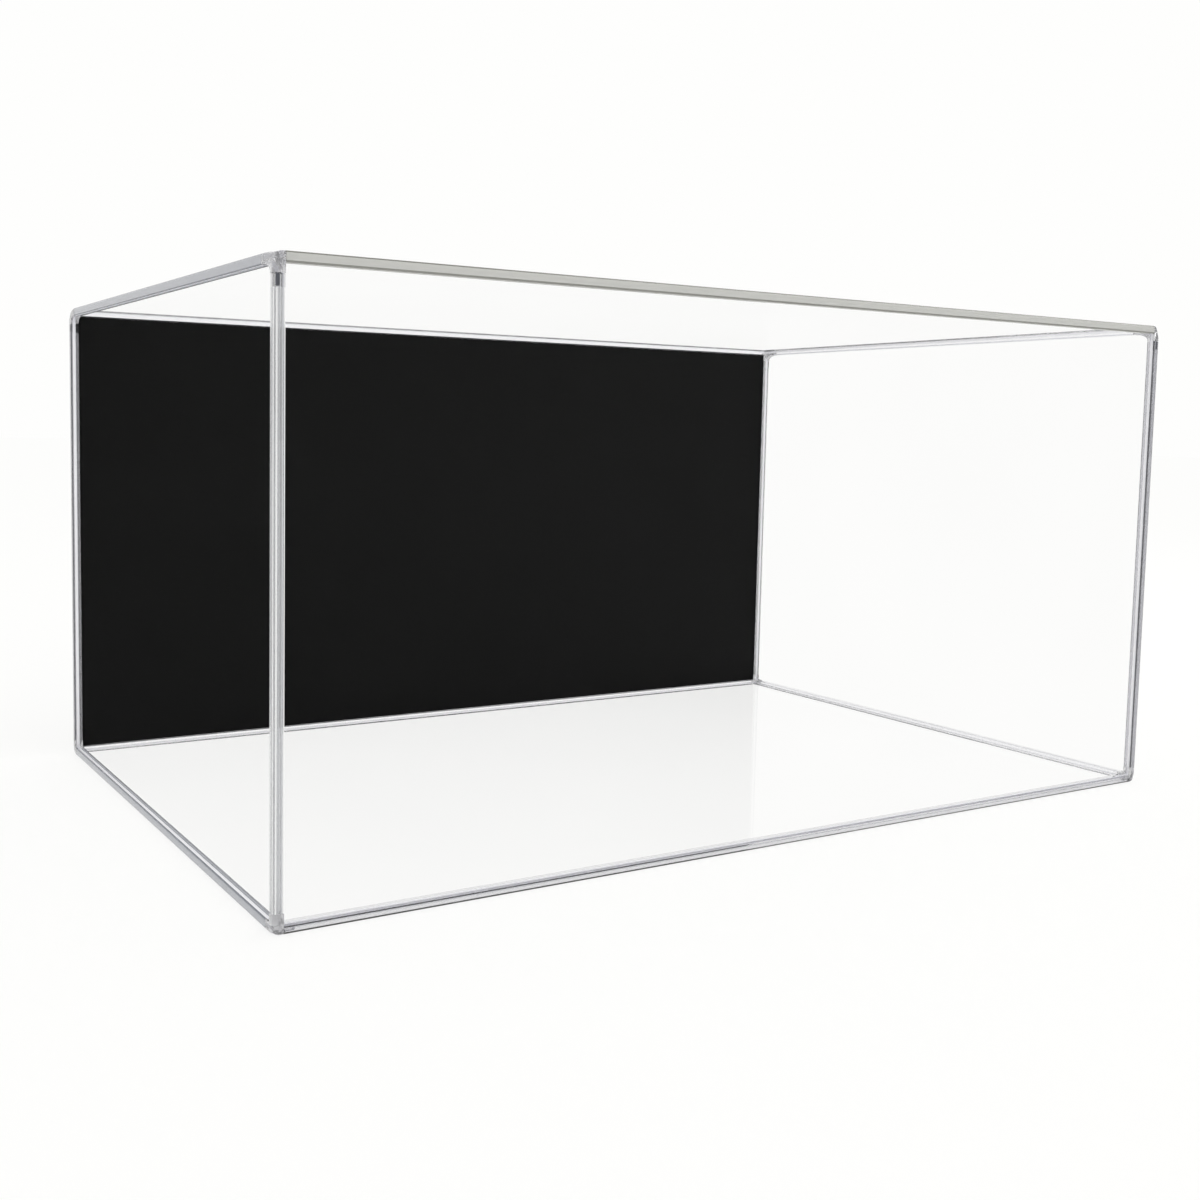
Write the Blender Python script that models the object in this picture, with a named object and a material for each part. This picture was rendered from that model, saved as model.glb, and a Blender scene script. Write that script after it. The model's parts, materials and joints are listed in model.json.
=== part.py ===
"""A clear display case for one pair of shoes: grooved edge strips, three-way corners and flat sheets.

Units are metres, +Z is up and the front faces -Y. The origin is the centre of the underside.
The lid (top strips, top corners and top sheet) lifts straight up off the rest.
"""

import itertools
import math

import bmesh
import bpy
from mathutils import Matrix, Vector

# The outside of the case
case_width = 0.380
case_depth = 0.246
case_height = 0.190

# The edge strip's section, measured inwards from its two outer faces
lip_thickness = 0.0007
sheet_thickness = 0.0012
web_thickness = 0.0003
slot_depth = 0.0008
bore_wall = 0.0006
edge_radius = 0.0010

# The lid's corner connectors: the long bend at the side, inside, and what lies past it
lid_bend_run = 0.0063
lid_bend_drop = 0.0024
lid_shank = 0.0004

# The base's corner connectors, which are more compact: their rounding outside and bend inside
base_round_reach = 0.0040
base_round_depth = 0.0024
base_bend = 0.0006
base_shank = 0.0022

# The spigots of both
spigot_root = 0.0004
spigot_reach = 0.0035
spigot_chamfer = 0.0002

# Fits, and how far a cutter runs past what it cuts
fit_clearance = 0.00015
seam_gap = 0.0002
cut_overrun = 0.001
same_point = 0.0000001

arc_steps = 6

# Sizes that follow from the ones above
slot_width = sheet_thickness + 2 * fit_clearance
core_width = lip_thickness + slot_width + web_thickness
strip_width = core_width + slot_depth
bore_width = core_width - 2 * bore_wall
spigot_width = bore_width - 2 * fit_clearance
sheet_inset = core_width + seam_gap

# For each kind of connector: its inner bend, how far its outer rounding reaches along the side
# and the post, how deep it goes at the corner, and its arms along the front, side and post
lid_bend = Vector((lid_bend_run, lid_bend_drop))
lid_round = lid_bend + Vector((strip_width, strip_width))
lid_arms = Vector((strip_width, lid_round.x + lid_shank, lid_round.y + lid_shank))
base_arm = strip_width + base_bend + base_shank
connector_kinds = {
    "top": (lid_bend, lid_round, strip_width, lid_arms),
    "bottom": (
        Vector((base_bend, base_bend)),
        Vector((base_round_reach, base_round_reach)),
        base_round_depth,
        Vector((strip_width, base_arm, base_arm)),
    ),
}

half_size = Vector((case_width / 2, case_depth / 2, case_height / 2))
outward = {
    "left": Vector((-1, 0, 0)),
    "right": Vector((1, 0, 0)),
    "front": Vector((0, -1, 0)),
    "back": Vector((0, 1, 0)),
    "bottom": Vector((0, 0, -1)),
    "top": Vector((0, 0, 1)),
}


def clear_scene():
    for obj in list(bpy.data.objects):
        bpy.data.objects.remove(obj, do_unlink=True)


def outer_point(*faces):
    """Where these outer faces meet: a face's middle, an edge's middle or a corner."""
    middle = Vector((0, 0, half_size.z))
    return middle + sum((outward[face] * half_size for face in faces), Vector())


def linear(channel):
    """An sRGB channel, 0 to 255, as linear light."""
    value = channel / 255
    return value / 12.92 if value <= 0.04045 else ((value + 0.055) / 1.055) ** 2.4


def make_material(name, srgb, roughness, transmission):
    material = bpy.data.materials.new(name)
    material.use_nodes = True
    surface = material.node_tree.nodes["Principled BSDF"]
    surface.inputs["Base Color"].default_value = (*map(linear, srgb), 1)
    surface.inputs["Roughness"].default_value = roughness
    surface.inputs["Metallic"].default_value = 0
    surface.inputs["IOR"].default_value = 1.49
    surface.inputs["Transmission Weight"].default_value = transmission
    return material


def make_empty(name, location):
    empty = bpy.data.objects.new(name, None)
    empty.location = location
    bpy.context.collection.objects.link(empty)
    return empty


def add_object(name, data, matrix, parent=None):
    """A new object with this data, placed in the world and carried by the parent."""
    obj = bpy.data.objects.new(name, data)
    bpy.context.collection.objects.link(obj)
    if parent:
        obj.parent = parent
        obj.matrix_parent_inverse = Matrix.Translation(parent.location).inverted()
    obj.matrix_basis = matrix
    return obj


def placed(axes, origin):
    """The matrix that turns local X, Y and Z onto three axes, with local zero at the origin given."""
    turn = Matrix(axes).transposed().to_4x4()
    return Matrix.Translation(origin) @ turn


def quarter_arc(across, up):
    """Points from (across, 0) to (0, up) that round off the corner at zero."""
    turns = [math.pi / 2 * step / arc_steps for step in range(arc_steps + 1)]
    return [(across - across * math.sin(a), up - up * math.cos(a)) for a in turns]


def loft(name, lower, upper, lower_level, upper_level):
    """A closed mesh between two outlines with as many points, both drawn anticlockwise."""
    shape = bmesh.new()
    bottom = [shape.verts.new((x, y, lower_level)) for x, y in lower]
    top = [shape.verts.new((x, y, upper_level)) for x, y in upper]
    shape.faces.new(reversed(bottom))
    shape.faces.new(top)
    for i in range(len(bottom)):
        j = (i + 1) % len(bottom)
        shape.faces.new((bottom[i], bottom[j], top[j], top[i]))
    bmesh.ops.recalc_face_normals(shape, faces=shape.faces)
    mesh = bpy.data.meshes.new(name)
    shape.to_mesh(mesh)
    shape.free()
    return mesh


def rectangle(low, far_x, far_y):
    """The outline from (low, low) to (far_x, far_y)."""
    return [(low, low), (far_x, low), (far_x, far_y), (low, far_y)]


def strip_outline():
    """The strip's section: an outer rounded edge, and a groove that opens towards each sheet."""
    slot_end = lip_thickness + slot_width
    one_side = [
        (strip_width, 0),
        (strip_width, lip_thickness),
        (core_width, lip_thickness),
        (core_width, slot_end),
        (strip_width, slot_end),
    ]
    other_side = [(y, x) for x, y in reversed(one_side)]
    rounded_edge = quarter_arc(edge_radius, edge_radius)[::-1]
    return rounded_edge + one_side + [(strip_width, strip_width)] + other_side


def mesh_of(obj, name, material):
    """The object's evaluated mesh in the world's frame, its facets welded and its curves shaded smooth."""
    bpy.context.view_layer.update()
    evaluated = obj.evaluated_get(bpy.context.evaluated_depsgraph_get())
    mesh = bpy.data.meshes.new_from_object(evaluated)
    mesh.transform(obj.matrix_world)
    mesh.name = name
    shape = bmesh.new()
    shape.from_mesh(mesh)
    bmesh.ops.remove_doubles(shape, verts=shape.verts, dist=same_point)
    shape.to_mesh(mesh)
    shape.free()
    mesh.materials.clear()
    mesh.materials.append(material)
    mesh.shade_smooth()
    mesh.set_sharp_from_angle(angle=math.radians(30))
    return mesh


def strip_mesh(name, length, material):
    """The strip's section with its bore, extruded both ways along local Z."""
    curve = bpy.data.curves.new(name, "CURVE")
    curve.dimensions = "2D"
    curve.fill_mode = "BOTH"
    curve.extrude = length / 2
    bore_end = bore_wall + bore_width
    for outline in (strip_outline(), rectangle(bore_wall, bore_end, bore_end)):
        spline = curve.splines.new("POLY")
        spline.points.add(len(outline) - 1)
        for point, (x, y) in zip(spline.points, outline):
            point.co = (x, y, 0, 1)
        spline.use_cyclic_u = True
    extrusion = add_object(name, curve, Matrix.Identity(4))
    mesh = mesh_of(extrusion, name, material)
    bpy.data.objects.remove(extrusion, do_unlink=True)
    return mesh


def elbow_mesh(bend, arms):
    """The two side arms and their inner bend, as thick as a strip, before the outside is rounded."""
    low = -cut_overrun
    side_end = arms.y + cut_overrun
    post_end = arms.z + cut_overrun
    inner_bend = [(x + strip_width, y + strip_width) for x, y in quarter_arc(*bend)]
    outline = [(low, low), (side_end, low), (side_end, strip_width)]
    outline += inner_bend
    outline += [(strip_width, post_end), (low, post_end)]
    return loft("elbow", outline, outline, low, strip_width)


def edge_stations(reach, depth, arms):
    """Places along a connector's outer edge, from the side arm's end round to the post arm's.

    Each is a point on the side's face, a point on the path of the strips' own edge, and how deep
    the rounding between the two goes there. It is deepest at the corner.
    """
    shares = [step / arc_steps for step in range(arc_steps + 1)]
    path = [(reach.x + (edge_radius - reach.x) * share, 0) for share in shares]
    path += quarter_arc(edge_radius, edge_radius)[1:-1]
    path += [(0, edge_radius + (reach.y - edge_radius) * share) for share in shares]
    bend = [math.sin(math.pi / 2 * share) ** 2 for share in shares]
    depths = bend + [1] * (len(path) - 2 * len(bend)) + bend[::-1]
    stations = [(Vector((arms.y, edge_radius)), Vector((arms.y, 0)), edge_radius)]
    for i, (place, share) in enumerate(zip(path, depths)):
        turn = math.pi / 2 * i / (len(path) - 1)
        on_face = reach - Vector(
            ((reach.x - edge_radius) * math.sin(turn), (reach.y - edge_radius) * math.cos(turn))
        )
        stations.append((on_face, Vector(place), edge_radius + (depth - edge_radius) * share))
    stations.append((Vector((edge_radius, arms.z)), Vector((0, arms.z)), edge_radius))
    return stations


def outer_mesh(reach, depth, arms):
    """The connector's outer form, drawn about X like its elbow.

    Its outer edge is rounded by quarter ellipses from the side's face to the strips' own edge.
    """
    shape = bmesh.new()
    stations = edge_stations(reach, depth, arms)
    rings = []
    for step in range(arc_steps + 1):
        turn = math.pi / 2 * step / arc_steps
        ring = [
            (*on_face.lerp(on_path, math.sin(turn)), deep * (1 - math.cos(turn)))
            for on_face, on_path, deep in stations
        ]
        ring.append((arms.y, arms.z, ring[0][2]))
        rings.append([shape.verts.new(point) for point in ring])
    past = strip_width + cut_overrun
    rings.append([shape.verts.new((vertex.co.x, vertex.co.y, past)) for vertex in rings[-1]])
    shape.faces.new(rings[0])
    shape.faces.new(rings[-1])
    for lower, upper in itertools.pairwise(rings):
        for i in range(len(lower)):
            j = (i + 1) % len(lower)
            shape.faces.new((lower[i], lower[j], upper[j], upper[i]))
    bmesh.ops.remove_doubles(shape, verts=shape.verts, dist=same_point)
    bmesh.ops.triangulate(shape, faces=shape.faces)
    bmesh.ops.recalc_face_normals(shape, faces=shape.faces)
    mesh = bpy.data.meshes.new("outer_form")
    shape.to_mesh(mesh)
    shape.free()
    return mesh


def corner_slot_mesh(arms):
    """The slot that takes a sheet's corner."""
    reach = max(arms) + cut_overrun
    outline = rectangle(core_width, reach, reach)
    return loft("corner_slot", outline, outline, lip_thickness, lip_thickness + slot_width)


def spigot_mesh(arm):
    """The square peg at an arm's end that plugs into a strip's bore, its own end chamfered."""
    low = (core_width - spigot_width) / 2
    high = low + spigot_width
    tip = arm + spigot_reach
    shape = bmesh.new()
    rings = []
    for inset, level in (
        (0, arm - spigot_root),
        (0, tip - spigot_chamfer),
        (spigot_chamfer, tip),
    ):
        outline = rectangle(low + inset, high - inset, high - inset)
        rings.append([shape.verts.new((x, y, level)) for x, y in outline])
    shape.faces.new(reversed(rings[0]))
    shape.faces.new(rings[-1])
    for lower, upper in itertools.pairwise(rings):
        for i in range(4):
            j = (i + 1) % 4
            shape.faces.new((lower[i], lower[j], upper[j], upper[i]))
    mesh = bpy.data.meshes.new("spigot")
    shape.to_mesh(mesh)
    shape.free()
    return mesh


def corner_mesh(name, kind, material):
    """The connector at a corner at zero: a side arm along +Y, a post arm along +Z, a spigot along +X.

    Every tool is drawn about Z, then turned about X and about Y too.
    """
    inner_bend, reach, depth, arms = kind
    axes = [Vector((1, 0, 0)), Vector((0, 1, 0)), Vector((0, 0, 1))]
    turns = [placed(axes[turn:] + axes[:turn], Vector()) for turn in range(3)]
    about_x = turns[1]
    slot = corner_slot_mesh(arms)
    steps = [("INTERSECT", outer_mesh(reach, depth, arms), about_x)]
    steps += [("DIFFERENCE", slot, turn) for turn in turns]
    steps += [("UNION", spigot_mesh(arms[(i + 2) % 3]), turn) for i, turn in enumerate(turns)]
    body = add_object("corner_body", elbow_mesh(inner_bend, arms), about_x)
    tools = []
    for operation, mesh, turn in steps:
        tool = add_object("corner_tool", mesh, turn)
        tool.hide_render = True
        tool.display_type = "WIRE"
        change = body.modifiers.new(mesh.name, "BOOLEAN")
        change.operation = operation
        change.solver = "EXACT"
        change.object = tool
        tools.append(tool)
    mesh = mesh_of(body, name, material)
    for obj in tools + [body]:
        bpy.data.objects.remove(obj, do_unlink=True)
    return mesh


def mirrored(mesh):
    """The other hand of a connector, mirrored in X."""
    other = mesh.copy()
    other.name = mesh.name + "_mirrored"
    other.transform(Matrix.Scale(-1, 4, (1, 0, 0)))
    other.flip_normals()
    return other


def sheet_mesh(name, face, material):
    """A flat sheet whose edges reach into the grooves all round."""
    size = 2 * (half_size - Vector((sheet_inset, sheet_inset, sheet_inset)))
    for axis in range(3):
        if outward[face][axis]:
            size[axis] = sheet_thickness
    shape = bmesh.new()
    bmesh.ops.create_cube(shape, size=1)
    bmesh.ops.scale(shape, vec=size, verts=shape.verts)
    mesh = bpy.data.meshes.new(name)
    shape.to_mesh(mesh)
    shape.free()
    mesh.materials.append(material)
    return mesh


def add_strip(name, faces, ends, material, parent):
    """A strip along the edge where two faces meet, its section turned to open inwards.

    The two ends are how far it stays from the case's faces there, low end first.
    """
    inward = [-outward[face] for face in faces]
    along = inward[0].cross(inward[1])
    axis = max(range(3), key=lambda axis: abs(along[axis]))
    length = 2 * half_size[axis] - sum(ends) - 2 * seam_gap
    middle = outer_point(*faces)
    middle[axis] += (ends[0] - ends[1]) / 2
    mesh = strip_mesh(name, length, material)
    return add_object(name, mesh, placed((*inward, along), middle), parent)


def add_corner(name, faces, meshes, parent):
    """A connector at the corner of a left or right face and two others, of the hand that fits."""
    inward = [-outward[face] for face in faces]
    right_handed = inward[0].cross(inward[1]).dot(inward[2]) > 0
    if not right_handed:
        inward[0] = -inward[0]
    mesh = meshes[0] if right_handed else meshes[1]
    return add_object(name, mesh, placed(inward, outer_point(*faces)), parent)


def add_sheet(name, face, material, parent):
    depth = lip_thickness + fit_clearance + sheet_thickness / 2
    middle = outer_point(face) - outward[face] * depth
    return add_object(name, sheet_mesh(name, face, material), Matrix.Translation(middle), parent)


def build():
    clear_scene()
    strip_plastic = make_material("clear extruded strip", (226, 228, 234), 0.06, 1.0)
    corner_plastic = make_material("clear moulded corner", (220, 223, 230), 0.12, 1.0)
    clear_sheet = make_material("clear polished sheet", (250, 251, 252), 0.02, 1.0)
    black_sheet = make_material("black matt sheet", (27, 27, 27), 0.55, 0.0)

    case = make_empty("case", Vector())
    lid = make_empty("lid", outer_point("top"))
    post_ends = [connector_kinds[level][-1].z for level in ("bottom", "top")]

    for front_back, left_right in itertools.product(("front", "back"), ("left", "right")):
        name = f"post_{front_back}_{left_right}"
        add_strip(name, (front_back, left_right), post_ends, strip_plastic, case)
    for level, carrier in (("bottom", case), ("top", lid)):
        kind = connector_kinds[level]
        arms = kind[-1]
        for side, arm in (("front", arms.x), ("back", arms.x), ("left", arms.y), ("right", arms.y)):
            name = f"{level}_strip_{side}"
            add_strip(name, (side, level), (arm, arm), strip_plastic, carrier)
        connector = corner_mesh(f"{level}_connector", kind, corner_plastic)
        both_hands = (connector, mirrored(connector))
        for front_back, left_right in itertools.product(("front", "back"), ("left", "right")):
            name = f"{level}_corner_{front_back}_{left_right}"
            add_corner(name, (left_right, front_back, level), both_hands, carrier)

    add_sheet("floor_panel", "bottom", clear_sheet, case)
    for side in ("front", "left", "right"):
        add_sheet(f"{side}_panel", side, clear_sheet, case)
    add_sheet("back_panel", "back", black_sheet, case)
    add_sheet("top_panel", "top", clear_sheet, lid)


build()
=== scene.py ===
"""A clear knock-down display case for one pair of shoes, on a white studio floor.

Units are metres, +Z is up, the front faces -Y and the origin is the centre of the underside.
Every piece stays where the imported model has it, and rides on that model's bodies.
"""

import json
import math

import bmesh
import bpy
import numpy as np
from mathutils import Euler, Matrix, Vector


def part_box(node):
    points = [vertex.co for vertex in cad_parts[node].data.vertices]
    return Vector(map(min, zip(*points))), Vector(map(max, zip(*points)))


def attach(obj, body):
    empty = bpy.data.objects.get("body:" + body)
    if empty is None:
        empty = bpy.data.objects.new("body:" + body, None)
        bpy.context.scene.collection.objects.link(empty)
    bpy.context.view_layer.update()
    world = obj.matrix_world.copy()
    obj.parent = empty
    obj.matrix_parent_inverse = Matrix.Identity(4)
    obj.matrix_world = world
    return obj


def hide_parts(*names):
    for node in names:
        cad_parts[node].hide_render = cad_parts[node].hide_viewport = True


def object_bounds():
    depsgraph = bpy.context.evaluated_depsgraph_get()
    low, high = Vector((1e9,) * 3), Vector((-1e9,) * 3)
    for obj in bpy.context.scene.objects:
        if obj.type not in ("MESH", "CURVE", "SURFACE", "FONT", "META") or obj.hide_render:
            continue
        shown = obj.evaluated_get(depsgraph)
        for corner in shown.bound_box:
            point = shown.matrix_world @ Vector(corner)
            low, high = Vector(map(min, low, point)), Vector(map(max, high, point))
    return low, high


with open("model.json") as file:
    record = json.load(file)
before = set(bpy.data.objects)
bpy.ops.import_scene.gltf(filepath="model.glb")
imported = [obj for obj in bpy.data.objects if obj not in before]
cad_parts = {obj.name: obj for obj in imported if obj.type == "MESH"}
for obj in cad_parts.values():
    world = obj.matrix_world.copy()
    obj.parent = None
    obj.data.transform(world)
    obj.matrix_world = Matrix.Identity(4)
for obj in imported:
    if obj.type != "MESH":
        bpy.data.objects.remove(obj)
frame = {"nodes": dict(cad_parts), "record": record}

packed_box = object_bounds()
case_size = np.array(packed_box[1] - packed_box[0])
case_middle = np.array(packed_box[0] + packed_box[1]) / 2


# The camera
# It stands low and to the left of the case. The picture is a part of a wider one, which the
# shift takes care of.

camera_place = (-0.32167, -0.48070, 0.14277)
camera_azimuth = -30.947
camera_elevation = 4.923
camera_roll = 1.052
focal_pixels = 1376.5
picture_pixels = 1200
optical_centre_pixels = (533.73, 548.83)

lens = bpy.data.cameras.new("camera")
lens.sensor_width = 36
lens.lens = focal_pixels / picture_pixels * lens.sensor_width
lens.shift_x = 0.5 - optical_centre_pixels[0] / picture_pixels
lens.shift_y = optical_centre_pixels[1] / picture_pixels - 0.5
lens.clip_start = 0.01
lens.clip_end = 100

camera = bpy.data.objects.new("camera", lens)
camera.location = camera_place
aim = Euler((math.radians(90 - camera_elevation), 0, math.radians(camera_azimuth)), "XYZ")
roll = Euler((0, 0, math.radians(camera_roll)), "XYZ")
camera.rotation_euler = (aim.to_matrix() @ roll.to_matrix()).to_euler()
bpy.context.collection.objects.link(camera)
bpy.context.scene.camera = camera


# The edge strips
# Twelve lengths of clear extruded plastic. Each has two grooves that hold the edges of the sheets
# and a square bore for the connectors' spigots. The die leaves fine lines along its whole length.

lip_thickness = 0.0007
groove_width = 0.0015
groove_floor = 0.0025
bore_wall = 0.0006
strip_edge_radius = 0.0010
lip_radius = 0.00035
inner_radius = 0.00005
nose_radius = 0.0003


def linear(hex_colour):
    """An sRGB colour written in hex, as linear light with an alpha of 1."""
    channels = np.array([int(hex_colour[i : i + 2], 16) for i in (1, 3, 5)]) / 255
    low = channels / 12.92
    high = ((channels + 0.055) / 1.055) ** 2.4
    return (*np.where(channels <= 0.04045, low, high).tolist(), 1)


def add_node(tree, kind, links=None, **settings):
    """Adds a node. Links holds, by input, a value or the output that feeds it."""
    node = tree.nodes.new(kind)
    for name, value in settings.items():
        setattr(node, name, value)
    for name, value in (links or {}).items():
        if isinstance(value, bpy.types.NodeSocket):
            tree.links.new(value, node.inputs[name])
        else:
            node.inputs[name].default_value = value
    return node


def new_material(name):
    """An empty material, its node tree and its output node."""
    material = bpy.data.materials.new(name)
    material.use_nodes = True
    material.node_tree.nodes.clear()
    return material, material.node_tree, add_node(material.node_tree, "ShaderNodeOutputMaterial")


def finish_piece(name, mesh, material, body, nodes):
    """Gives the mesh its material, shades it, and puts it on its body in place of these nodes.

    Normals are weighed by area, so that flat faces stay flat beside their rounded edges.
    """
    mesh.materials.append(material)
    mesh.shade_smooth()
    mesh.set_sharp_from_angle(angle=math.radians(32))
    piece = bpy.data.objects.new(name, mesh)
    bpy.context.collection.objects.link(piece)
    even = piece.modifiers.new("flat faces stay flat", "WEIGHTED_NORMAL")
    even.keep_sharp = True
    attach(piece, body)
    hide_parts(*nodes)
    return piece


def body_with(node):
    """The body that carries this node."""
    return next(body for body, nodes in frame["record"]["behaviour"]["bodies"].items() if node in nodes)


def filleted(corners, radii, steps):
    """Turns each right-angled corner into a quarter circle.

    With f and g the directions into and out of a corner, and a from 0 to 90 degrees, a point is
    the corner + radius (g - f) + radius (f sin a - g cos a).
    """
    into = corners - np.roll(corners, 1, axis=0)
    into /= np.linalg.norm(into, axis=1, keepdims=True)
    out = np.roll(into, -1, axis=0)
    turn = np.linspace(0, math.pi / 2, steps + 1)[None, :, None]
    radius = radii[:, None, None]
    centre = corners[:, None] + radius * (out - into)[:, None]
    arcs = centre + radius * (into[:, None] * np.sin(turn) - out[:, None] * np.cos(turn))
    return arcs.reshape(-1, 2)


def strip_section(width):
    """The section from the outer corner inwards, and the bore, as two outlines in the plane."""
    lip_end = lip_thickness + groove_width
    side = [
        (width, 0, lip_radius),
        (width, lip_thickness, lip_radius),
        (groove_floor, lip_thickness, inner_radius),
        (groove_floor, lip_end, inner_radius),
        (width, lip_end, nose_radius),
    ]
    other = [(v, u, radius) for u, v, radius in reversed(side)]
    rows = np.array([(0, 0, strip_edge_radius), *side, (width, width, nose_radius), *other])
    start = 3
    rows = np.roll(rows, -start, axis=0)
    outline = filleted(rows[:, :2], rows[:, 2], 6)
    near, far = bore_wall, groove_floor - bore_wall
    bore = np.array([(near, near), (far, near), (far, far), (near, far)])
    return outline, filleted(bore, np.full(4, inner_radius), 2)


def extruded_strip(name, low, high):
    """The strip in this box: point (i, j) is outline point i, carried to the strip's end j.

    The section's outer corner lies on the box edge that is farthest from the case's middle.
    """
    size = high - low
    along = int(np.argmax(size))
    across = [axis for axis in range(3) if axis != along]
    outline, bore = strip_section(size[across[0]])
    outward = np.sign((low + high) / 2 - case_middle)[across]
    corner = np.where(outward > 0, high[across], low[across])
    points, faces, run, lengths, places = [], [], [], [], []
    rings = []
    for ring in (outline, bore):
        first = sum(len(block) for block in points)
        count = len(ring)
        block = np.empty((2, count, 3))
        block[:, :, across] = corner - outward * ring
        block[:, :, along] = np.array([low[along], high[along]])[:, None]
        around = np.cumsum(np.linalg.norm(ring - np.roll(ring, 1, axis=0), axis=1))
        points.append(block.reshape(-1, 3))
        run.append(np.tile(around, 2))
        lengths.append(block[:, :, along].ravel())
        outside = ring.min(axis=1) < strip_edge_radius / 2
        places.append(np.tile(np.where(outside, ring[:, 0] - ring[:, 1], groove_floor / 2), 2))
        here = first + np.arange(count)
        onward = first + (np.arange(count) + 1) % count
        faces += np.stack([here, onward, onward + count, here + count], axis=1).tolist()
        rings.append(here)
    outer, inner = rings
    diagonal = outline.sum(axis=1)
    outer_cut = sorted((int(np.argmin(diagonal)), int(np.argmax(diagonal))))
    inner_cut = [int(np.argmin(np.linalg.norm(bore - outline[i], axis=1))) for i in outer_cut]
    for (a, b), (c, d) in ((outer_cut, inner_cut), (outer_cut[::-1], inner_cut[::-1])):
        rim = np.roll(outer, -a)[: (b - a) % len(outer) + 1]
        hole = np.roll(inner, -c)[: (d - c) % len(inner) + 1]
        lid = np.concatenate([rim, hole[::-1]])
        faces.append(lid.tolist())
        past = np.concatenate([rim + len(outer), hole[::-1] + len(inner)])
        faces.append(past[::-1].tolist())
    mesh = bpy.data.meshes.new(name)
    mesh.from_pydata(np.concatenate(points).tolist(), [], faces)
    # The place around and along the section. The die streaks read it, and so do the painted highlight and shade
    # lines at the edges and tips.
    die_streaks_and_painted_lines = mesh.attributes.new("die_streaks_and_painted_lines", "FLOAT_VECTOR", "POINT")
    run, lengths = np.concatenate(run), np.concatenate(lengths)
    places = np.concatenate(places)
    die_streaks_and_painted_lines.data.foreach_set("vector", np.stack([run, lengths, places], axis=1).ravel())
    return closed(mesh)


def closed(mesh):
    """The same mesh, its doubles merged and its faces turned outwards."""
    shape = bmesh.new()
    shape.from_mesh(mesh)
    bmesh.ops.remove_doubles(shape, verts=shape.verts, dist=0.000001)
    bmesh.ops.recalc_face_normals(shape, faces=shape.faces)
    shape.to_mesh(mesh)
    shape.free()
    return mesh


def clear_plastic(tree, output, surface, shade, absorption=None):
    """Lets lamps and scattered light straight through the clear plastic, dimmed by a shade."""
    paths = add_node(tree, "ShaderNodeLightPath")
    through = add_node(tree, "ShaderNodeBsdfTransparent", {"Color": linear(shade)})
    soft = add_node(
        tree, "ShaderNodeMixShader", {0: paths.outputs["Is Diffuse Ray"], 1: surface, 2: through.outputs[0]}
    )
    lamps = add_node(
        tree, "ShaderNodeMixShader", {0: paths.outputs["Is Shadow Ray"], 1: soft.outputs[0], 2: through.outputs[0]}
    )
    tree.links.new(lamps.outputs[0], output.inputs["Surface"])
    if absorption:
        colour, density = absorption
        body = add_node(
            tree, "ShaderNodeVolumeAbsorption", {"Color": linear(colour), "Density": density}
        )
        tree.links.new(body.outputs[0], output.inputs["Volume"])


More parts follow.
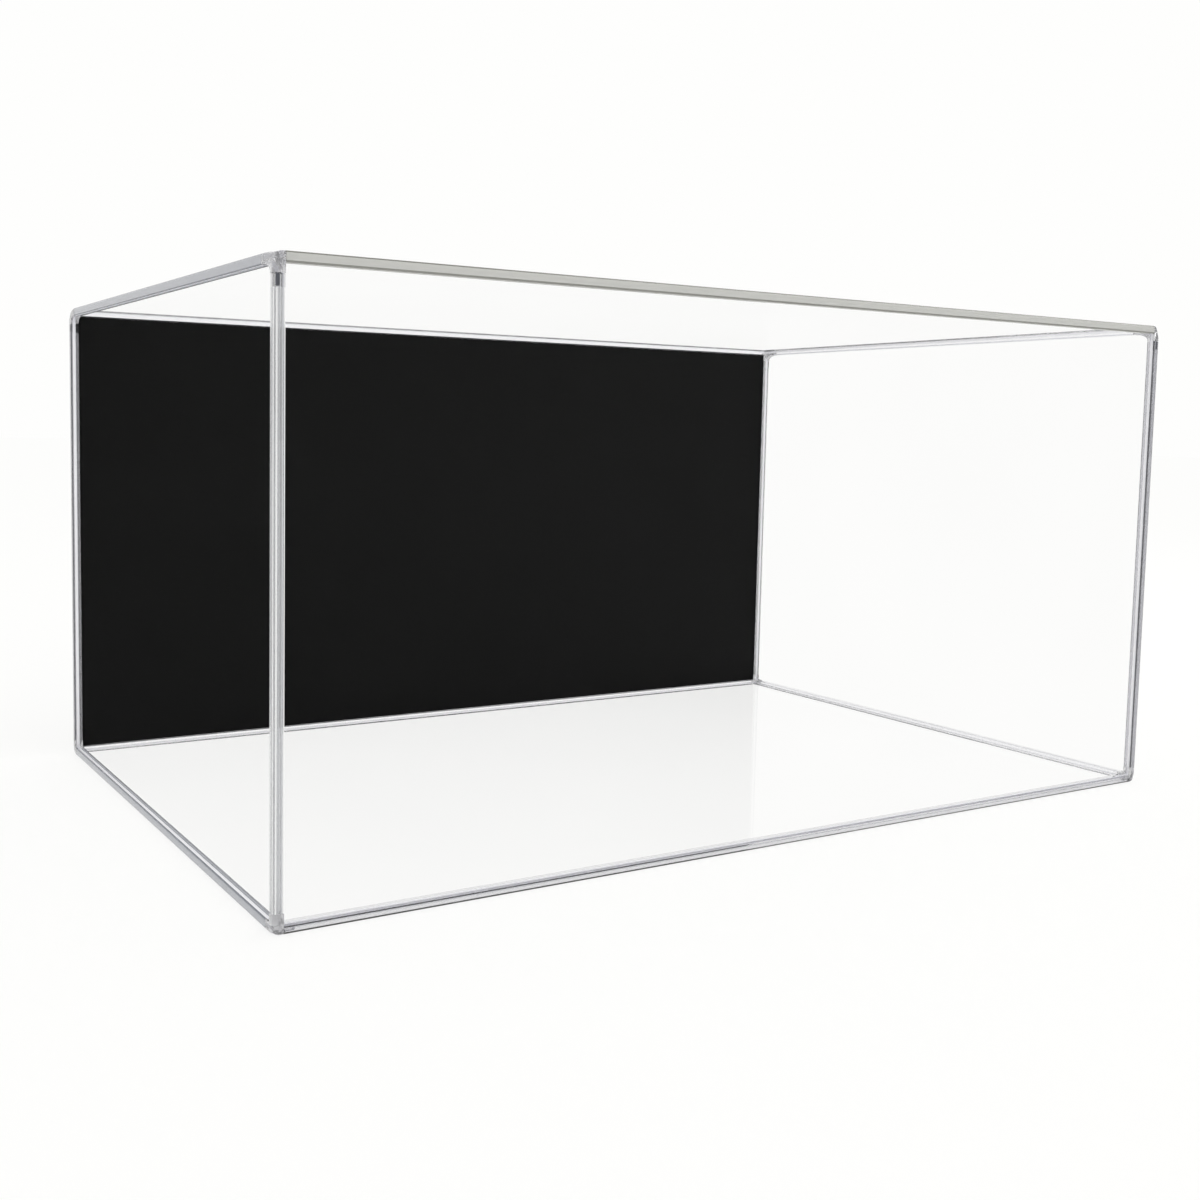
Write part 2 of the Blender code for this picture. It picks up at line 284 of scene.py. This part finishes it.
def strip_material(name, index, clearness, tones, lines, absorption, plug_start=1.0):
    """Extruded clear acrylic: glossy, grey in its depth, with fine lines along its edges.

    The streaks that the die leaves are about 0.3 mm wide and 60 mm long. The lines beside the
    rounded edge and at the lips' tips are painted light and shade: a pale line tone is a painted
    highlight and a dark one is painted shade, where the clear plastic would gather the light or bend it away.
    """
    painted_line_tone, line_clearness, edge_place, edge_reach, tip_start = lines
    material, tree, output = new_material(name)
    die_streaks_and_painted_lines = add_node(tree, "ShaderNodeAttribute", attribute_name="die_streaks_and_painted_lines")
    stretch = add_node(
        tree, "ShaderNodeMapping", {"Vector": die_streaks_and_painted_lines.outputs["Vector"], "Scale": (1 / 0.0003, 1 / 0.06, 0)}
    )
    streaks = add_node(
        tree, "ShaderNodeTexNoise", {"Vector": stretch.outputs[0], "Scale": 1.0, "Detail": 3.0, "Roughness": 0.6}
    )
    place = add_node(tree, "ShaderNodeSeparateXYZ", {"Vector": die_streaks_and_painted_lines.outputs["Vector"]})
    from_edge = add_node(tree, "ShaderNodeMath", {0: place.outputs["Z"]}, operation="ABSOLUTE")
    on_edge = add_node(
        tree, "ShaderNodeMath", {0: from_edge.outputs[0], 1: edge_place, 2: edge_reach}, operation="COMPARE"
    )
    on_tip = add_node(
        tree, "ShaderNodeMath", {0: from_edge.outputs[0], 1: tip_start}, operation="GREATER_THAN"
    )
    on_painted_line = add_node(
        tree, "ShaderNodeMath", {0: on_edge.outputs[0], 1: on_tip.outputs[0]}, operation="MAXIMUM"
    )
    tone = add_node(
        tree,
        "ShaderNodeMix",
        {"Factor": streaks.outputs["Fac"], "A": linear(tones[0]), "B": linear(tones[1])},
        data_type="RGBA",
    )
    # Painted highlight or painted shade: the line tone is mixed in along the rounded edge and the lips' tips.
    colour = add_node(
        tree,
        "ShaderNodeMix",
        {"Factor": on_painted_line.outputs[0], "A": tone.outputs["Result"], "B": linear(painted_line_tone)},
        data_type="RGBA",
    )
    clear = add_node(
        tree,
        "ShaderNodeMapRange",
        {"Value": on_painted_line.outputs[0], "To Min": clearness, "To Max": line_clearness},
    )
    gloss = add_node(
        tree, "ShaderNodeMapRange", {"Value": streaks.outputs["Fac"], "To Min": 0.0, "To Max": 0.03}
    )
    at_plug = add_node(
        tree, "ShaderNodeMath", {0: place.outputs["Y"], 1: plug_start}, operation="GREATER_THAN"
    )
    clearest = add_node(
        tree, "ShaderNodeMath", {0: clear.outputs["Result"], 1: at_plug.outputs[0]}, operation="ADD", use_clamp=True
    )
    ridges = add_node(
        tree, "ShaderNodeBump", {"Height": streaks.outputs["Fac"], "Strength": 0.03, "Distance": 0.00005}
    )
    plastic = add_node(
        tree,
        "ShaderNodeBsdfPrincipled",
        {
            "Base Color": colour.outputs["Result"],
            "Roughness": gloss.outputs["Result"],
            "Normal": ridges.outputs["Normal"],
            "IOR": index,
            "Transmission Weight": clearest.outputs[0],
        },
    )
    clear_plastic(tree, output, plastic.outputs[0], "#F0F0F2", absorption)
    return material


# All twelve are the same plastic, given here as six lit and shaded copies, one for each place. Their
# tones, clearness and lines are painted light and shade: painted highlight lines where the white room
# is to their sides, and painted dark outlines where the black back or the dim room is.
# Painted highlights: a pale lit copy, with white lines painted along the rounded edge and the lips' tips.
painted_highlight_lined = strip_material(
    "extruded_clear_acrylic_bright_lined",
    1.49,
    0.75,
    ("#DCDDDE", "#EEEFF0"),
    ("#FFFFFF", 0.3, 0.0007, 0.00025, 0.0029),
    ("#C8C8CA", 200.0),
    plug_start=0.1800,
)
# Painted shade: a darker copy, with dark outlines painted along the rounded edge and the lips' tips.
painted_dark_outlined = strip_material(
    "extruded_clear_acrylic_dark_outlined",
    1.49,
    0.8,
    ("#CCCCD0", "#DCDCE0"),
    ("#606064", 0.3, 0.0002, 0.0002, 0.0029),
    ("#C8C8CA", 150.0),
    plug_start=0.1800,
)
# Painted shade: a greyer, less clear copy, with a dark line painted along the rounded edge and the lips' tips.
shaded_lid_front = strip_material(
    "extruded_clear_acrylic_lid_front_painted_shade",
    1.49,
    0.5,
    ("#D4D4D0", "#DCDCD8"),
    ("#84847E", 0.3, 0.0002, 0.0002, 0.0027),
    ("#D0D0CC", 60.0),
)
# Painted shade: a darker, bluish copy for the sides away from the lamp, with dark lines painted along the rounded
# edge and the lips' tips.
shaded_side = strip_material(
    "extruded_clear_acrylic_side_painted_shade",
    1.49,
    0.5,
    ("#B4B6BC", "#C8CACE"),
    ("#80848C", 0.3, 0.0002, 0.0002, 0.0029),
    ("#C8C8CC", 100.0),
)
# Painted shadow: a dark line low on the rounded edge stands for the contact shadow under the strip. The pale tones
# are a lit copy.
contact_shadow_base_front = strip_material(
    "extruded_clear_acrylic_base_front_painted_shadow",
    1.08,
    0.94,
    ("#E4E4E6", "#FAFAFA"),
    ("#60605E", 0.3, 0.0002, 0.0005, 0.0100),
    ("#D8D8DA", 30.0),
)
# Painted light: a paler, clearer copy for the strips seen through the sheets, with grey lines painted along the
# rounded edge and the lips' tips.
lit_far = strip_material(
    "extruded_clear_acrylic_far_painted_light",
    1.15,
    0.98,
    ("#F4F4F6", "#FFFFFF"),
    ("#B4B4B6", 0.3, 0.0003, 0.0002, 0.0031),
    ("#DCDCE0", 20.0),
)
strip_plastics = {
    "post_front_left": painted_highlight_lined,
    "post_back_right": painted_highlight_lined,
    "post_front_right": painted_dark_outlined,
    "post_back_left": painted_dark_outlined,
    "top_strip_front": shaded_lid_front,
    "top_strip_left": shaded_side,
    "bottom_strip_left": shaded_side,
    "bottom_strip_front": contact_shadow_base_front,
    "top_strip_back": lit_far,
    "top_strip_right": lit_far,
    "bottom_strip_back": lit_far,
    "bottom_strip_right": lit_far,
}

for node, plastic in strip_plastics.items():
    low, high = (np.array(corner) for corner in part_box(node))
    mesh = extruded_strip(node + "_extrusion", low, high)
    finish_piece(mesh.name, mesh, plastic, body_with(node), [node])


# The corner connectors
# Eight injection-moulded pieces of clear plastic, rounded like a ball outside. Their spigots plug
# into the strips' bores, and their slots take the corners of the sheets.

lid_arm = 0.0061
spigot_top = packed_box[1][2] - lid_arm - 0.00001

# Moulded clear acrylic: a little milky, with soft flow marks 4 mm across and a satin skin.
corner_plastic, tree, output = new_material("moulded_clear_acrylic")
place = add_node(tree, "ShaderNodeTexCoord")
flow = add_node(
    tree, "ShaderNodeTexNoise", {"Vector": place.outputs["Object"], "Scale": 1 / 0.004, "Detail": 2.0}
)
tone = add_node(
    tree,
    "ShaderNodeMix",
    {"Factor": flow.outputs["Fac"], "A": linear("#E2E2E4"), "B": linear("#F8F8F8")},
    data_type="RGBA",
)
# Painted shade: the marked spigot faces are painted dark grey and made less clear, for the dark slots the air gap
# gives.
painted_spigot_shade = add_node(tree, "ShaderNodeAttribute", attribute_name="painted_spigot_shade")
colour = add_node(
    tree,
    "ShaderNodeMix",
    {"Factor": painted_spigot_shade.outputs["Fac"], "A": tone.outputs["Result"], "B": linear("#5C606A")},
    data_type="RGBA",
)
clear = add_node(
    tree, "ShaderNodeMapRange", {"Value": painted_spigot_shade.outputs["Fac"], "To Min": 0.84, "To Max": 0.3}
)
gloss = add_node(
    tree, "ShaderNodeMapRange", {"Value": flow.outputs["Fac"], "To Min": 0.0, "To Max": 0.06}
)
plastic = add_node(
    tree,
    "ShaderNodeBsdfPrincipled",
    {
        "Base Color": colour.outputs["Result"],
        "Roughness": gloss.outputs["Result"],
        "IOR": 1.49,
        "Transmission Weight": clear.outputs["Result"],
    },
)
clear_plastic(tree, output, plastic.outputs[0], "#E0E0E4", ("#C8C8CA", 170.0))


def moulded_copy(node):
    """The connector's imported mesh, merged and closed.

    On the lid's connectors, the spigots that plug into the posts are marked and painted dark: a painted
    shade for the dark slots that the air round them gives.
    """
    mesh = frame["nodes"][node].data.copy()
    mesh.name = node + "_moulding"
    mesh.materials.clear()
    closed(mesh)
    centres = np.empty(len(mesh.polygons) * 3)
    mesh.polygons.foreach_get("center", centres)
    painted_spigot_shade = mesh.attributes.new("painted_spigot_shade", "FLOAT", "FACE")
    painted_spigot_shade.data.foreach_set("value", (centres[2::3] < spigot_top) & node.startswith("top"))
    return mesh


for node in sorted(node for node in frame["nodes"] if "_corner_" in node):
    mesh = moulded_copy(node)
    finish_piece(mesh.name, mesh, corner_plastic, body_with(node), [node])


# The clear sheets
# Five flat sheets of clear acrylic, 1.2 mm thick, cut to size with polished edges. They are the
# front, both sides, the floor and the top, and the strips' grooves hold them all round.

sheet_corner_radius = 0.0008
sheet_edge_radius = 0.0002


def flat_sheet(name, low, high):
    """A sheet in this box: point (i, j) is point i of its rounded rectangle, drawn in by profile j.

    The profile is a quarter circle at each side of the sheet, so that the edge is rounded.
    """
    size = high - low
    thin = int(np.argmin(size))
    across = [axis for axis in range(3) if axis != thin]
    half = size[across] / 2
    corners = np.array([(-1, -1), (1, -1), (1, 1), (-1, 1)]) * half
    rim = filleted(corners, np.full(4, sheet_corner_radius), 4)
    turn = np.linspace(0, math.pi / 2, 4)
    inset = sheet_edge_radius * (1 - np.sin(turn))
    depth = sheet_edge_radius * (1 - np.cos(turn))
    inset = np.concatenate([inset, inset[::-1]])
    depth = np.concatenate([low[thin] + depth, high[thin] - depth[::-1]])
    share = 1 - inset[:, None, None] / half
    grid = np.empty((len(depth), len(rim), 3))
    grid[:, :, across] = (low + high)[across] / 2 + rim * share
    grid[:, :, thin] = depth[:, None]
    index = np.arange(grid.shape[0] * grid.shape[1]).reshape(grid.shape[:2])
    onward = np.roll(index, -1, axis=1)
    quads = np.stack([index[:-1], onward[:-1], onward[1:], index[1:]], axis=2)
    faces = quads.reshape(-1, 4).tolist() + [index[0].tolist(), index[-1].tolist()]
    mesh = bpy.data.meshes.new(name)
    mesh.from_pydata(grid.reshape(-1, 3).tolist(), [], faces)
    sawn = mesh.attributes.new("sawn", "FLOAT", "FACE")
    sawn.data.foreach_set("value", np.arange(len(faces)) < len(faces) - 2)
    return closed(mesh)


def sheet_material(name, index):
    """Cast clear acrylic: water clear, with a trace of haze 80 mm across and pale sawn edges."""
    material, tree, output = new_material(name)
    place = add_node(tree, "ShaderNodeTexCoord")
    haze = add_node(
        tree, "ShaderNodeTexNoise", {"Vector": place.outputs["Object"], "Scale": 1 / 0.08, "Detail": 2.0}
    )
    tone = add_node(
        tree,
        "ShaderNodeMix",
        {"Factor": haze.outputs["Fac"], "A": linear("#FDFDFD"), "B": linear("#FFFFFF")},
        data_type="RGBA",
    )
    edge = add_node(tree, "ShaderNodeAttribute", attribute_name="sawn")
    colour = add_node(
        tree,
        "ShaderNodeMix",
        {"Factor": edge.outputs["Fac"], "A": tone.outputs["Result"], "B": linear("#F8F8FB")},
        data_type="RGBA",
    )
    gloss = add_node(
        tree, "ShaderNodeMapRange", {"Value": edge.outputs["Fac"], "To Min": 0.0, "To Max": 0.5}
    )
    clear = add_node(
        tree, "ShaderNodeMapRange", {"Value": edge.outputs["Fac"], "To Min": 1.0, "To Max": 0.1}
    )
    plastic = add_node(
        tree,
        "ShaderNodeBsdfPrincipled",
        {
            "Base Color": colour.outputs["Result"],
            "Roughness": gloss.outputs["Result"],
            "IOR": index,
            "Transmission Weight": clear.outputs["Result"],
        },
    )
    clear_plastic(tree, output, plastic.outputs[0], "#FEFEFE", ("#F0F0F0", 5.0))
    return material


wall_plastic = sheet_material("cast_clear_acrylic_wall", 1.001)
floor_plastic = sheet_material("cast_clear_acrylic_floor", 1.04)
for node in ("floor_panel", "front_panel", "left_panel", "right_panel", "top_panel"):
    low, high = (np.array(corner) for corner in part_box(node))
    mesh = flat_sheet(node + "_sheet", low, high)
    sheet_plastic = floor_plastic if node == "floor_panel" else wall_plastic
    finish_piece(mesh.name, mesh, sheet_plastic, body_with(node), [node])


# The black back
# One opaque sheet of black plastic in the back grooves, with the same cut edges as the others.

# Matt black polystyrene: rolled, with a fine even grain of 0.4 mm that keeps it from mirroring.
back_plastic, tree, output = new_material("rolled_matt_black_polystyrene")
place = add_node(tree, "ShaderNodeTexCoord")
grain = add_node(
    tree, "ShaderNodeTexNoise", {"Vector": place.outputs["Object"], "Scale": 1 / 0.0004, "Detail": 2.0}
)
patches = add_node(
    tree, "ShaderNodeTexNoise", {"Vector": place.outputs["Object"], "Scale": 1 / 0.05, "Detail": 3.0}
)
tone = add_node(
    tree,
    "ShaderNodeMix",
    {"Factor": patches.outputs["Fac"], "A": linear("#0C0C0C"), "B": linear("#101010")},
    data_type="RGBA",
)
gloss = add_node(
    tree, "ShaderNodeMapRange", {"Value": grain.outputs["Fac"], "To Min": 0.5, "To Max": 0.65}
)
pits = add_node(
    tree, "ShaderNodeBump", {"Height": grain.outputs["Fac"], "Strength": 0.2, "Distance": 0.00004}
)
plastic = add_node(
    tree,
    "ShaderNodeBsdfPrincipled",
    {
        "Base Color": tone.outputs["Result"],
        "Roughness": gloss.outputs["Result"],
        "Normal": pits.outputs["Normal"],
        "IOR": 1.5,
        "Specular IOR Level": 0.1,
    },
)
tree.links.new(plastic.outputs[0], output.inputs["Surface"])

low, high = (np.array(corner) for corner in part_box("back_panel"))
mesh = flat_sheet("back_panel_sheet", low, high)
finish_piece(mesh.name, mesh, back_plastic, body_with("back_panel"), ["back_panel"])


# The studio
# A white floor without an end and a plain white room, with one large soft lamp at the upper right.

floor_reach = 12.0
floor_drop = 0.0002

corners = np.array([(-1, -1, 0), (1, -1, 0), (1, 1, 0), (-1, 1, 0)]) * floor_reach
corners[:, 2] = -floor_drop
mesh = bpy.data.meshes.new("studio_floor")
mesh.from_pydata(corners.tolist(), [], [(0, 1, 2, 3)])
floor = bpy.data.objects.new("studio_floor", mesh)
bpy.context.collection.objects.link(floor)

# White paper: plain and matt. For the camera, mirrors and glass a part of it glows, so that it
# shows as white, and the rest of it keeps the case's shadow.
paper, tree, output = new_material("white_paper")
mesh.materials.append(paper)
paths = add_node(tree, "ShaderNodeLightPath")
behind_glass = add_node(
    tree,
    "ShaderNodeMath",
    {0: paths.outputs["Is Glossy Ray"], 1: paths.outputs["Is Transmission Ray"]},
    operation="ADD",
)
shown = add_node(
    tree, "ShaderNodeMath", {0: behind_glass.outputs[0], 1: paths.outputs["Is Camera Ray"]}, operation="ADD"
)
seen = add_node(tree, "ShaderNodeMath", {0: shown.outputs[0], 1: 0.82}, operation="MULTIPLY")
matt = add_node(tree, "ShaderNodeBsdfDiffuse", {"Color": linear("#FAFAF9")})
glow = add_node(tree, "ShaderNodeEmission", {"Color": linear("#FEFEFD"), "Strength": 1.0})
blend = add_node(
    tree, "ShaderNodeMixShader", {0: seen.outputs[0], 1: matt.outputs[0], 2: glow.outputs[0]}
)
tree.links.new(blend.outputs[0], output.inputs["Surface"])

world = bpy.data.worlds.new("studio")
world.use_nodes = True
world.node_tree.nodes.clear()
tree = world.node_tree
heading = add_node(tree, "ShaderNodeTexCoord")
towards_room = add_node(
    tree, "ShaderNodeVectorMath", {0: heading.outputs["Generated"], 1: (0, -0.96, 0.29)}, operation="DOT_PRODUCT"
)
room_shade = add_node(
    tree,
    "ShaderNodeMapRange",
    {"Value": towards_room.outputs["Value"], "From Min": -0.2, "From Max": 0.5, "To Min": 1.0, "To Max": 0.5},
    interpolation_type="SMOOTHSTEP",
)
paths = add_node(tree, "ShaderNodeLightPath")
in_plastic = add_node(
    tree,
    "ShaderNodeMath",
    {0: paths.outputs["Is Glossy Ray"], 1: paths.outputs["Is Transmission Ray"]},
    operation="ADD",
)
brightness = add_node(
    tree, "ShaderNodeMix", {"Factor": in_plastic.outputs[0], "A": 1.0, "B": room_shade.outputs[0]}
)
sky = add_node(
    tree, "ShaderNodeBackground", {"Color": linear("#FEFEFD"), "Strength": brightness.outputs["Result"]}
)
room = add_node(tree, "ShaderNodeOutputWorld", {"Surface": sky.outputs[0]})
bpy.context.scene.world = world

lamp = bpy.data.lights.new("soft_lamp", "AREA")
lamp.shape = "DISK"
lamp.size = 1.0
lamp.energy = 4.0
lamp_place = Vector((1.0, -0.3, 1.2))
lamp_object = bpy.data.objects.new("soft_lamp", lamp)
lamp_object.location = lamp_place
lamp_object.rotation_euler = (Vector(case_middle) - lamp_place).to_track_quat("-Z", "Y").to_euler()
bpy.context.collection.objects.link(lamp_object)

bpy.context.scene.view_settings.view_transform = "Standard"
